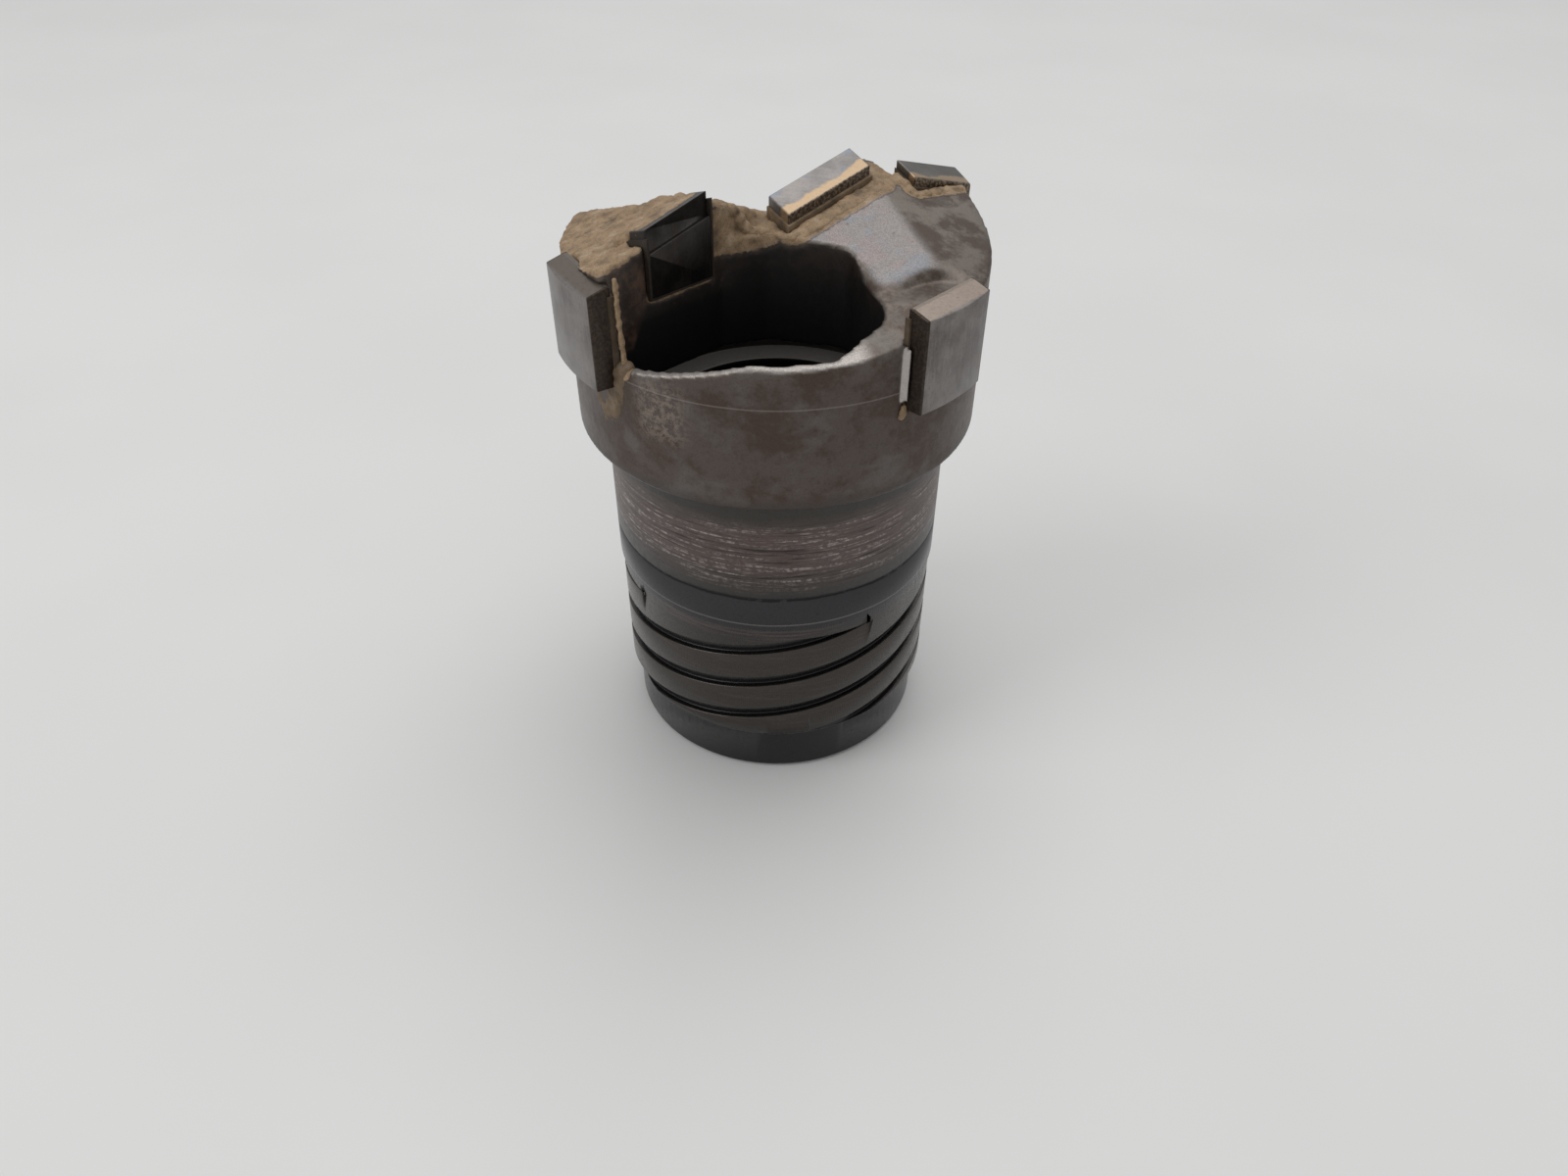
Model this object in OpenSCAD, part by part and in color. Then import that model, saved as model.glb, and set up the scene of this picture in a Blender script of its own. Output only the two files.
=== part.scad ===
// Brazed carbide deep-hole drill head, standing on its rear face with the cutting tips up.
// Z is the drill's axis, and z = 0 is the rear face. It cuts turning anticlockwise, seen from the tips.

/* [Diameters] */
// Hole that the head drills, over the guide pads and the outer tip
drill_d = 65; // [64.5:0.1:66]
// Steel head behind the pads
head_d = 60; // [59.5:0.1:60.5]
// Front pilot, between the thread and the head
neck_d = 52.3; // [52.2:0.05:52.5]
// Crests of the thread
thread_d = 51.6; // [51.5:0.05:51.7]
// Rear pilot, below the thread
pilot_d = 49.2; // [48.8:0.1:49.4]
// Chip bore through the shank
bore_d = 38; // [34:0.5:39]

/* [Lengths from the rear face] */
// Top of the rear pilot
pilot_h = 8.1; // [7.5:0.1:8.5]
// Top of the thread, where its grooves run out
thread_top = 30.2; // [29:0.2:31]
// Step between the thread's land and the front pilot
land_top = 32.4; // [31.5:0.1:33]
// Mark that the drill tube's mouth leaves round the pilot
tube_mark_z = 38.7; // [37:0.1:42]
// Shoulder under the head
shoulder_z = 57.5; // [56.5:0.1:58]
// Lower end of the guide pads
pad_z = 70.6; // [70:0.1:72]

/* [Thread] */
// Distance between neighbouring grooves
thread_pitch = 7; // [6.8:0.1:7.1]
// Number of starts
thread_starts = 4; // [4:1:4]
// Width of a groove at its floor
groove_w = 2; // [1.6:0.1:2.4]
// Diameter over the groove floors
groove_floor_d = 49.7; // [49.6:0.1:50.4]

/* [Carbide] */
// Thickness of a cutting tip behind its rake face
tip_t = 4.1; // [3.6:0.1:4.4]
// Width of a guide pad
pad_w = 12.7; // [12:0.1:13]
// Height of a guide pad, up to the back of its lead-in facet
pad_h = 14; // [13.6:0.1:14.4]
// How much higher the left pad sits than the right one
left_pad_lift = 0.9; // [0:0.1:1.2]
// Braze alloy between the carbide and its seat
braze_gap = 0.3; // [0.2:0.05:0.4]

/* [Hidden] */

$fn = 96;
drill_r = drill_d / 2;
head_r = head_d / 2;
neck_r = neck_d / 2;
thread_r = thread_d / 2;
pilot_r = pilot_d / 2;
bore_r = bore_d / 2;
lead = thread_pitch * thread_starts;
// Azimuth where the first groove starts, inside the rear pilot's height
groove_start_az = -90 - (27.65 - (pilot_h - groove_w - 1)) / lead * 360;
top_z = 96;              // above every tip
reach = 90;              // larger than the part

// Directions, round the axis, of the two lines that the cutting edges stand on
intermediate_az = -137;
centre_az = 43;
outer_az = 38;
// Middles of the guide pads
left_pad_az = -147.5;
right_pad_az = -44;

// Chip chamber behind the mouths
chamber_floor_z = 54.2;
chamber_step_r = 23.4;
chamber_r = 26.1;
chamber_wide_r = 28;
chamber_roof_z = 70;
mouth_r = 28.6;

// Pads: flat back, distance from the axis
pad_back = 28.8;

// Finish colours
steel = [0.36, 0.33, 0.31];
carbide = [0.42, 0.42, 0.43];
braze = [0.60, 0.48, 0.31];

// ---------- helpers ----------

// Turns a child to a line at azimuth az: X runs outward along it, and the rake side faces +Y
module along(az) rotate([0, 0, az]) children();

// The space above the plane z = height + slope_x * x + slope_y * y
module above(height, slope_x = 0, slope_y = 0) {
    length = sqrt(1 + slope_x * slope_x + slope_y * slope_y);
    translate([0, 0, height])
        rotate([asin(slope_y / length), atan(-slope_x), 0])
            translate([-reach / 2, -reach / 2, 0])
                cube([reach, reach, reach / 2]);
}

// Points of an arc round the origin
function arc(radius, from, to, steps = 24) =
    [for (i = [0 : steps]) let (a = from + (to - from) * i / steps) radius * [cos(a), sin(a)]];

// A corner at p between neighbours a and b, rounded to radius r
function corner(a, p, b, r, steps = 6) =
    let (u = (a - p) / norm(a - p), v = (b - p) / norm(b - p),
         half = acos(u * v) / 2,
         centre = p + (u + v) / norm(u + v) * r / sin(half),
         start = p + u * r / tan(half) - centre,
         turn = (u[0] * v[1] - u[1] * v[0] > 0 ? -1 : 1) * (180 - 2 * half))
    [for (i = [0 : steps]) let (t = turn * i / steps)
        centre + [start[0] * cos(t) - start[1] * sin(t), start[0] * sin(t) + start[1] * cos(t)]];

// A sector of the plan, from azimuth a to azimuth b, out past the head, with its point set back behind the axis
module sector(a, b, back = 0.9)
    linear_extrude(2 * reach)
        polygon(concat([-back * [cos((a + b) / 2), sin((a + b) / 2)]], arc(reach / 2, a, b, 8)));

// The outer wall's share of a sector
module wall_sector(a, b)
    linear_extrude(2 * reach)
        polygon(concat(arc(reach / 2, a, b, 8), arc(mouth_r - 1.5, b, a, 8)));

// ---------- body ----------

body_profile = [
    [0, 0], [pilot_r - 0.7, 0], [pilot_r, 0.7], [pilot_r, pilot_h],
    [thread_r, pilot_h + 1.5], [thread_r, land_top],
    [neck_r, land_top + 0.1], [neck_r, tube_mark_z - 0.25], [neck_r - 0.15, tube_mark_z],
    [neck_r, tube_mark_z + 0.25], [neck_r, shoulder_z - 2.4],
    [neck_r + 0.6, shoulder_z - 1.0], [neck_r + 1.8, shoulder_z - 0.4],
    [head_r - 0.5, shoulder_z], [head_r, shoulder_z + 0.5],
    [head_r, top_z], [0, top_z]
];

chamber_profile = [
    [0, -1], [bore_r + 1.8, -1], [bore_r, 0.8], [bore_r, chamber_floor_z],
    [chamber_step_r, chamber_floor_z], [chamber_step_r, chamber_floor_z + 0.8],
    [chamber_r, 60.4], [chamber_wide_r, 65], [chamber_wide_r, chamber_roof_z - 3],
    [chamber_wide_r - 1, chamber_roof_z - 1], [chamber_wide_r - 3, chamber_roof_z], [0, chamber_roof_z]
];

// A thread groove rising to the right, from inside the rear pilot's height to its run-out at thread_top
module thread_groove(start_az) {
    bottom = pilot_h - groove_w - 1;
    rise = thread_top - bottom;
    width = 360 * groove_w / lead;
    rotate([0, 0, start_az]) translate([0, 0, bottom])
        linear_extrude(rise, twist = -360 * rise / lead, slices = 56, convexity = 6, $fn = 10)
            polygon(concat(arc(thread_r + 1.2, -width, 0, 4), arc(groove_floor_d / 2, 0, -width, 4)));
}

// Chip mouth in front of the intermediate tip, in that tip's frame
mouth_1 = concat(
    arc(mouth_r, 0, 62, 16),
    corner([11, 25.6], [3.2, 24.4], [-2.4, 11.2], 4),
    corner([3.2, 24.4], [-1.9, 12.2], [4.4, 2.8], 3.2),
    corner([-1.9, 12.2], [4.4, 2.8], [10.4, 0], 2),
    [[10.4, 0]]
);

// Chip mouth in front of the centre and outer tips, in the centre tip's frame
mouth_2 = concat(
    arc(mouth_r, -9.32, 122, 24),
    corner([-15.2, 24.3], [-13, 14], [-6, 7.5], 2.5),
    corner([-13, 14], [-2.6, 4], [0.2, 0], 3),
    [[0.2, 0], [17.6, 0], [18.94, -3.82]]
);

module mouth(outline) translate([0, 0, chamber_roof_z - 1.6]) linear_extrude(reach / 2) polygon(outline);

// Relief facets behind the centre and outer tips
module right_flank_cut() {
    intersection() {
        along(centre_az) union() {
            above(87.4, 0.188, 0.22);
            above(92.1, -0.10, 0.33);
        }
        sector(-132, 46);
    }
}

// Relief facets behind the intermediate tip
module left_flank_cut() {
    intersection() {
        along(intermediate_az) union() {
            above(86.8, 0.42, 0.22);
            above(94.3, -0.24, 0.25);
        }
        sector(118, 229);
    }
}

// Rims of the two mouths, each rising away from the tip that it serves
module rim_cuts() {
    intersection() {
        above(80.0, 0.265, 0);
        wall_sector(intermediate_az - 0.6, -70);
    }
    intersection() {
        above(73.0, -0.265, 0);
        wall_sector(33.7, centre_az + 124);
    }
}

// Flat round the right guide pad
module pad_flat_cut() {
    translate([0, 0, 82.1])
        linear_extrude(reach / 2)
            polygon(concat(arc(reach / 2, -73, -20, 8),
                           [[21.5, -10.8], [18, -12.5], [13.4, -17.2], [12.6, -20.5], [8.4, -26.6]]));
}

// Ground land that fills the corner beside the right pad's seat
module side_land() {
    land_r = 31.1;
    width = 1.5;
    height = 9.6;
    edge_y = -pad_w / 2 - braze_gap;
    edge_x = sqrt(land_r * land_r - edge_y * edge_y);
    pad_frame(right_pad_az) translate([0, 0, 1.4])
        linear_extrude(height)
            polygon([[edge_x - 4, edge_y + 1], [edge_x, edge_y + 1], [edge_x, edge_y],
                     [edge_x - 1.6, edge_y - width / 2], [edge_x - 4, edge_y - width / 2]]);
}

module body() {
    color(steel) difference() {
        union() {
            rotate_extrude($fn = 180) polygon(body_profile);
            side_land();
        }
        rotate_extrude($fn = 180) polygon(chamber_profile);
        along(intermediate_az) mouth(mouth_1);
        along(centre_az) mouth(mouth_2);
        right_flank_cut();
        left_flank_cut();
        rim_cuts();
        pad_flat_cut();
        for (i = [0 : thread_starts - 1]) thread_groove(groove_start_az + i * 360 / thread_starts);
        seat_blocks();
    }
}

// ---------- carbide ----------

// A tip's block behind its rake face, in its own frame: from x0 to x1, down to z0
module tip_block(x0, x1, z0, grow = 0)
    translate([x0 - grow, -tip_t - grow, z0 - grow])
        cube([x1 - x0 + 2 * grow, tip_t + grow, top_z - z0]);

// The block under its flank face, whose edge is at height edge_z where x = 0 and climbs by slope
module tip(x0, x1, z0, edge_z, slope, relief = 0.36)
    difference() {
        tip_block(x0, x1, z0);
        above(edge_z, slope, relief);
    }

centre_x = [-1.65, 14];
centre_z = 79.5;
intermediate_x = [12.3, 22.6];
intermediate_z = 81.5;
outer_x = [20.2, 31];
outer_z = 73.5;
outer_offset = 2;

module centre_frame() along(centre_az) children();
module intermediate_frame() along(intermediate_az) children();
module outer_frame() along(outer_az) translate([0, -outer_offset, 0]) children();
module pad_frame(az) along(az)
    translate([0, 0, pad_z + (az == left_pad_az ? left_pad_lift : 0)]) children();

module centre_tip()
    color(carbide) centre_frame() tip(centre_x[0], centre_x[1], centre_z, 89.9, 0.188);

module intermediate_tip()
    color(carbide) intermediate_frame() difference() {
        translate([0, 0.5, 0]) tip(intermediate_x[0], intermediate_x[1], intermediate_z, 96.2, -0.24);
        chip_breaker();
    }

// Step ground into the rake face below the cutting edge
module chip_breaker()
    difference() {
        translate([10, -0.2, 84]) cube([15, 3, 12]);
        rotate([0, atan(0.24), 0]) translate([-10, -5, 84.5]) cube([60, 10, 5.8]);
    }

module outer_tip()
    color(carbide) intersection() {
        outer_frame() tip(outer_x[0], drill_r + 1, outer_z, 96.5, -0.30);
        cylinder(h = top_z, r = drill_r, $fn = 180);
    }

module pad_block(grow = 0)
    translate([pad_back - grow, -pad_w / 2 - grow, -grow])
        cube([10, pad_w + 2 * grow, pad_h + grow]);

module guide_pad(az)
    color(carbide) intersection() {
        pad_frame(az) difference() {
            pad_block();
            // lead-in facet at the front end
            translate([drill_r - 3, 0, 0]) above(pad_h, -0.3, 0);
        }
        cylinder(h = top_z, r = drill_r, $fn = 180);
    }

module left_guide_pad() guide_pad(left_pad_az);
module right_guide_pad() guide_pad(right_pad_az);

// ---------- seats and braze ----------

module centre_seat() centre_frame() tip_block(centre_x[0], centre_x[1], centre_z, braze_gap);
module intermediate_seat() intermediate_frame()
    translate([0, 0.5, 0]) tip_block(intermediate_x[0], intermediate_x[1], intermediate_z, braze_gap);
module outer_seat() outer_frame() tip_block(outer_x[0], drill_r + 1, outer_z, braze_gap);
module pad_seat(az) pad_frame(az) pad_block(braze_gap);

module seat_blocks() {
    centre_seat();
    intermediate_seat();
    outer_seat();
    pad_seat(left_pad_az);
    pad_seat(right_pad_az);
}

module centre_tip_braze()
    color(braze) difference() {
        centre_seat();
        centre_frame() tip_block(centre_x[0], centre_x[1], centre_z);
        centre_frame() above(88.6, 0.188, 0.36);
    }

module intermediate_tip_braze()
    color(braze) difference() {
        intermediate_seat();
        intermediate_frame() translate([0, 0.5, 0]) tip_block(intermediate_x[0], intermediate_x[1], intermediate_z);
        intermediate_frame() above(94.9, -0.24, 0.36);
    }

module outer_tip_braze()
    color(braze) difference() {
        intersection() {
            outer_seat();
            cylinder(h = top_z, r = head_r, $fn = 180);
        }
        outer_frame() tip_block(outer_x[0], drill_r + 1, outer_z);
        outer_frame() above(95.3, -0.30, 0.36);
    }

module pad_braze(az)
    color(braze) difference() {
        intersection() {
            pad_seat(az);
            cylinder(h = top_z, r = head_r, $fn = 180);
        }
        pad_frame(az) pad_block();
        pad_frame(az) above(pad_h - 1.2);
    }

module left_pad_braze() pad_braze(left_pad_az);
module right_pad_braze() pad_braze(right_pad_az);

body();
centre_tip();
intermediate_tip();
outer_tip();
left_guide_pad();
right_guide_pad();
centre_tip_braze();
intermediate_tip_braze();
outer_tip_braze();
left_pad_braze();
right_pad_braze();
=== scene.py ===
"""Brazed carbide deep-hole drill head: the finish of every surface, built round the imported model.

The head stands on its threaded rear end, with Z as its axis and the cutting tips at the top. The steel body is shown
as two meshes that meet under the shoulder: the turned shank, and the front with its melted, hand-dressed edges. The
carbide keeps its CAD meshes. The braze that ran over the front is modelled as lumpy overflow pieces.
"""

from __future__ import annotations

import logging
import math
import random
from dataclasses import dataclass, field
from enum import Enum
from typing import Callable, Iterable, Sequence

import bmesh
import bpy
import numpy as np
from mathutils import Matrix, Vector, noise
from mathutils.bvhtree import BVHTree


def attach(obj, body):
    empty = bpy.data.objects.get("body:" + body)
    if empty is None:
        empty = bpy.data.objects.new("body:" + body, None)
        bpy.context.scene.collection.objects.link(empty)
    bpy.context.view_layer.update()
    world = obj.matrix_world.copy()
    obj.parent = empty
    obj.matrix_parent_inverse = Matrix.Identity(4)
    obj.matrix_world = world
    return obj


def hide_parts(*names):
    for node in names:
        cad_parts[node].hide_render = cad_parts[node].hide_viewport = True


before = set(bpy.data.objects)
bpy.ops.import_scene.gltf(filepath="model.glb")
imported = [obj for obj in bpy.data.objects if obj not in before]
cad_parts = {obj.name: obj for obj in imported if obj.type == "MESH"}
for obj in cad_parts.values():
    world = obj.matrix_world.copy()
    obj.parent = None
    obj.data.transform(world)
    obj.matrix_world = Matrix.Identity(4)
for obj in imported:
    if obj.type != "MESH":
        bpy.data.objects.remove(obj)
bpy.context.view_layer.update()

log = logging.getLogger("drill_head")

MM = 0.001
Colour = tuple[float, float, float]
Point = tuple[float, float, float]


class Slot(Enum):
    """The record's material slots."""

    STEEL = "body"
    CARBIDE = "carbide"
    BRAZE = "braze"


@dataclass(frozen=True)
class Layout:
    """Places on the head, in millimetres and degrees round the axis.

    The lines at an azimuth are those that the cutting edges stand on: s runs outward along one, and t runs across it,
    positive on the rake side.
    """

    head_r: float = 30.0
    neck_r: float = 26.1
    split_z: float = 57.2
    mouth_r: float = 28.6
    intermediate_az: float = -137.0
    centre_az: float = 43.0
    outer_az: float = 38.0
    outer_offset: float = 2.0
    left_pad_az: float = -147.5
    right_pad_az: float = -44.0
    pad_half_w: float = 6.35
    pad_back: float = 28.8
    pad_z: float = 70.6

    def at(self, azimuth: float, s: float, t: float, z: float) -> Vector:
        """A point of a line's frame, in the head's frame.

        Args:
            azimuth: Direction of the line round the axis, in degrees.
            s: Distance outward along the line.
            t: Distance across it.
            z: Height.

        Returns:
            The point, in millimetres.
        """
        return Matrix.Rotation(math.radians(azimuth), 3, "Z") @ Vector((s, t, z))


LAYOUT = Layout()


# ---------- shaders ----------


class Shader:
    """A node material with short calls for the nodes that the finishes share. Patterns read millimetres."""

    def __init__(self, name: str) -> None:
        """Starts a material with a Principled shader and the piece's own coordinates.

        Args:
            name: Name of the material.
        """
        self.material = bpy.data.materials.new(name)
        self.material.use_nodes = True
        self.tree = self.material.node_tree
        self.surface = self.tree.nodes["Principled BSDF"]
        coords = self.tree.nodes.new("ShaderNodeTexCoord")
        scale = self.tree.nodes.new("ShaderNodeMapping")
        scale.inputs["Scale"].default_value = (1 / MM,) * 3
        self.tree.links.new(coords.outputs["Object"], scale.inputs["Vector"])
        self.place = scale.outputs["Vector"]
        split = self.tree.nodes.new("ShaderNodeSeparateXYZ")
        self.tree.links.new(self.place, split.inputs[0])
        self.x, self.y, self.z = split.outputs
        self.r = self.math("SQRT", self.math("ADD", self.math("MULTIPLY", self.x, self.x),
                                             self.math("MULTIPLY", self.y, self.y)))
        self.azimuth = self.math("MULTIPLY", self.math("ARCTAN2", self.y, self.x), 180 / math.pi)

    def feed(self, socket: bpy.types.NodeSocket, value: object) -> None:
        """Links a socket, or sets a plain value on one.

        Args:
            socket: The input to fill.
            value: An output socket, a number or a colour.
        """
        if isinstance(value, bpy.types.NodeSocket):
            self.tree.links.new(value, socket)
        elif isinstance(value, tuple) and len(value) == 3 and socket.type == "RGBA":
            socket.default_value = (*value, 1)
        else:
            socket.default_value = value

    def math(self, operation: str, a: object, b: object = 0.0, clamp: bool = False) -> bpy.types.NodeSocket:
        """The result of a Math node."""
        node = self.tree.nodes.new("ShaderNodeMath")
        node.operation = operation
        node.use_clamp = clamp
        self.feed(node.inputs[0], a)
        self.feed(node.inputs[1], b)
        return node.outputs[0]

    def stretched(self, scale: Point, turn: float = 0.0) -> bpy.types.NodeSocket:
        """The piece's coordinates, turned round Z and scaled along each axis.

        Args:
            scale: Factors along X, Y and Z, where under 1 draws a pattern out.
            turn: Turn round Z, in degrees.

        Returns:
            The vector output.
        """
        node = self.tree.nodes.new("ShaderNodeMapping")
        node.inputs["Scale"].default_value = scale
        node.inputs["Rotation"].default_value = (0, 0, math.radians(turn))
        self.feed(node.inputs["Vector"], self.place)
        return node.outputs[0]

    def across(self, azimuth: float) -> bpy.types.NodeSocket:
        """The distance across the line at an azimuth, positive on its rake side."""
        a = math.radians(azimuth)
        return self.math("ADD", self.math("MULTIPLY", self.x, -math.sin(a)), self.math("MULTIPLY", self.y, math.cos(a)))

    def noise(self, scale: float, detail: float = 3.0, roughness: float = 0.6,
              vector: bpy.types.NodeSocket | None = None, distortion: float = 0.0) -> bpy.types.NodeSocket:
        """A noise value of mean 0.5.

        Args:
            scale: Features per millimetre.
            detail: Octaves.
            roughness: Share of the finer octaves.
            vector: Coordinates, if not the plain ones.
            distortion: How far the pattern is warped.

        Returns:
            The value output.
        """
        node = self.tree.nodes.new("ShaderNodeTexNoise")
        node.inputs["Scale"].default_value = scale
        node.inputs["Detail"].default_value = detail
        node.inputs["Roughness"].default_value = roughness
        node.inputs["Distortion"].default_value = distortion
        self.feed(node.inputs["Vector"], vector or self.place)
        return node.outputs["Fac"]

    def step(self, value: object, low: float, high: float) -> bpy.types.NodeSocket:
        """A smooth rise from 0 where value is low to 1 where it is high; low may be the larger."""
        node = self.tree.nodes.new("ShaderNodeMapRange")
        node.interpolation_type = "SMOOTHSTEP"
        self.feed(node.inputs["Value"], value)
        node.inputs["From Min"].default_value = low
        node.inputs["From Max"].default_value = high
        return node.outputs["Result"]

    def band(self, value: object, low: float, high: float, soft: float) -> bpy.types.NodeSocket:
        """1 between low and high, and 0 outside, with soft edges."""
        return self.both(self.step(value, low - soft, low + soft), self.step(value, high + soft, high - soft))

    def both(self, *masks: object) -> bpy.types.NodeSocket:
        """The product of masks."""
        result = masks[0]
        for mask in masks[1:]:
            result = self.math("MULTIPLY", result, mask)
        return result

    def ramp(self, value: object, stops: Sequence[tuple[float, Colour]]) -> bpy.types.NodeSocket:
        """A colour that depends on a value.

        Args:
            value: The value, from 0 to 1.
            stops: Values in rising order, each with its colour.

        Returns:
            The colour output.
        """
        node = self.tree.nodes.new("ShaderNodeValToRGB")
        elements = node.color_ramp.elements
        while len(elements) < len(stops):
            elements.new(0.5)
        for element, (position, colour) in zip(elements, stops):
            element.position = position
            element.color = (*colour, 1)
        self.feed(node.inputs[0], value)
        return node.outputs[0]

    def mix(self, amount: object, a: object, b: object, blend: str = "MIX") -> bpy.types.NodeSocket:
        """Colour a, turned by amount towards b."""
        node = self.tree.nodes.new("ShaderNodeMix")
        node.data_type = "RGBA"
        node.blend_type = blend
        self.feed(node.inputs[0], amount)
        self.feed(node.inputs[6], a)
        self.feed(node.inputs[7], b)
        return node.outputs[2]

    def value_mix(self, amount: object, a: object, b: object) -> bpy.types.NodeSocket:
        """Number a, turned by amount towards b."""
        node = self.tree.nodes.new("ShaderNodeMix")
        self.feed(node.inputs[0], amount)
        self.feed(node.inputs[2], a)
        self.feed(node.inputs[3], b)
        return node.outputs[0]

    def painted(self, name: str) -> bpy.types.NodeSocket:
        """The value of a mask that the mesh carries."""
        node = self.tree.nodes.new("ShaderNodeAttribute")
        node.attribute_name = name
        return node.outputs["Fac"]

    def bump(self, height: object, strength: float, distance: float) -> None:
        """Adds relief to the surface.

        Args:
            height: The relief, from 0 to 1.
            strength: How strongly it shows.
            distance: Its real height, in millimetres.
        """
        node = self.tree.nodes.new("ShaderNodeBump")
        node.inputs["Strength"].default_value = strength
        node.inputs["Distance"].default_value = distance * MM
        self.feed(node.inputs["Height"], height)
        self.feed(self.surface.inputs["Normal"], node.outputs[0])

    def finish(self, colour: object, metallic: object, roughness: object) -> bpy.types.Material:
        """Feeds the shader and gives the material."""
        self.feed(self.surface.inputs["Base Color"], colour)
        self.feed(self.surface.inputs["Metallic"], metallic)
        self.feed(self.surface.inputs["Roughness"], roughness)
        return self.material


@dataclass(frozen=True)
class SteelFinish:
    """Hardened steel: oily and nearly black on the shank, galled on the pilot, brown and blasted at the front, with
    painted shade in the thread's groove floors, the bore, the chamber and inside the mouths.
    """

    # near black: oil in the pilot's dark streaks, and painted shade in the groove floors, the chamber and the bore
    oil_and_shade: Colour = (0.006, 0.005, 0.005)
    pilot: Colour = (0.030, 0.028, 0.028)
    land: Colour = (0.056, 0.049, 0.044)
    collar: Colour = (0.044, 0.042, 0.045)
    galled: Colour = (0.125, 0.094, 0.086)
    pale_scar: Colour = (0.420, 0.370, 0.350)
    quiet: Colour = (0.060, 0.054, 0.049)
    head: Colour = (0.100, 0.080, 0.071)
    head_brown: Colour = (0.070, 0.047, 0.036)
    head_grey: Colour = (0.140, 0.128, 0.118)
    scale: Colour = (0.230, 0.185, 0.155)
    flank: Colour = (0.190, 0.165, 0.142)
    blasted: Colour = (0.265, 0.245, 0.235)
    ground: Colour = (0.440, 0.405, 0.380)
    rust: Colour = (0.022, 0.013, 0.010)
    rust_light: Colour = (0.085, 0.048, 0.030)
    # near black: grime, the dark line at 38.7 mm, and painted shade inside the chamber, the bore and the mouths
    soot_and_shade: Colour = (0.004, 0.004, 0.004)

    def dress(self) -> bpy.types.Material:
        """Makes the material.

        Returns:
            The material, which reads the masks braze, blasted, ground and inside where a mesh carries them.
        """
        sh = Shader("worn_tool_steel")
        coarse = sh.noise(0.16, 4, 0.6)
        fine = sh.noise(1.3, 5, 0.65)
        grit = sh.noise(6.0, 2, 0.7)
        turned = sh.noise(1.0, 4, 0.7, sh.stretched((0.10, 0.10, 2.6)))
        height = sh.math("ADD", sh.z, sh.math("MULTIPLY", sh.math("SUBTRACT", coarse, 0.5), 2.2))
        tone = sh.ramp(sh.math("DIVIDE", height, 100), [
            (0.020, self.pilot), (0.085, self.pilot), (0.110, self.land), (0.290, self.land),
            (0.330, self.collar), (0.385, self.collar), (0.400, self.quiet), (0.450, self.galled),
            (0.505, self.galled), (0.535, self.quiet), (0.575, self.quiet), (0.600, self.head),
            (0.760, self.head), (0.860, self.flank)])
        on_head = sh.step(sh.z, 57, 60)
        brown = sh.both(sh.step(sh.noise(0.16, 5, 0.68), 0.44, 0.60), on_head, 0.85)
        tone = sh.mix(brown, tone, self.head_brown)
        grey = sh.both(sh.step(sh.noise(0.11, 4, 0.6, sh.stretched((1, 1, 1.3), 70)), 0.50, 0.66), on_head, 0.6)
        tone = sh.mix(grey, tone, self.head_grey)
        patch = sh.both(sh.band(sh.azimuth, -127, -114, 4), sh.band(height, 66.5, 74.5, 2.2),
                        sh.step(sh.noise(1.1, 6, 0.8), 0.44, 0.56))
        tone = sh.mix(sh.both(patch, 0.85), tone, self.scale)

        # galling: torn streaks round the front pilot, most of them just above its middle
        streaks = sh.both(sh.step(turned, 0.50, 0.62), sh.band(height, 41.5, 51.5, 2.0))
        tone = sh.mix(sh.both(streaks, sh.step(fine, 0.40, 0.62)), tone, self.pale_scar)
        tone = sh.mix(sh.both(sh.step(turned, 0.46, 0.34), sh.band(height, 41, 52, 1.5), 0.75), tone, self.oil_and_shade)

        # wear on the thread's lands and just above its top groove
        wear = sh.both(sh.step(turned, 0.52, 0.68), sh.band(sh.z, 9, 32.3, 0.5), 0.35)
        tone = sh.mix(wear, tone, self.galled)
        top_wear = sh.both(sh.step(turned, 0.44, 0.58), sh.band(sh.z, 30.6, 32.2, 0.5), sh.band(sh.azimuth, -140, -75, 14))
        tone = sh.mix(sh.both(top_wear, 0.55), tone, self.galled)

        # lines round the body: a dark one at 38.7 mm, two scribed ones
        dark_ring = sh.both(sh.band(height_line(sh, 38.7, 0.22), 0, 0.30, 0.16), sh.step(sh.noise(0.5, 3), 0.34, 0.5))
        tone = sh.mix(sh.both(dark_ring, 0.85), tone, self.soot_and_shade)
        for line_z, width, amount in ((33.6, 0.10, 0.35), (73.3, 0.09, 0.30)):
            line = sh.both(sh.band(height_line(sh, line_z, 0.05), 0, width, 0.08), amount)
            tone = sh.mix(line, tone, self.ground)

        # painted shade over oil: the groove floors, the chamber and the bore go near black
        groove = sh.both(sh.step(sh.r, 25.75, 25.45), sh.band(sh.z, 8.7, 30.3, 0.1))
        inner = sh.both(sh.step(sh.r, 24.4, 24.2), sh.step(sh.z, 54.0, 53.6))
        tone = sh.mix(sh.math("MAXIMUM", groove, inner), tone, self.oil_and_shade)

        # painted shade: inside the chamber, the bore and the mouths the colour goes soot black, turning rust brown
        # towards the top and above the intermediate mouth's ledge
        inside = sh.painted("inside")
        scorched = sh.math("MAXIMUM", sh.both(sh.step(sh.z, 77, 87), 0.30), sh.painted("ledge"))
        burnt = sh.mix(sh.step(sh.noise(0.35, 5, 0.7), 0.42, 0.62), self.rust, self.rust_light)
        tone = sh.mix(inside, tone, sh.mix(scorched, self.soot_and_shade, burnt))

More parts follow.
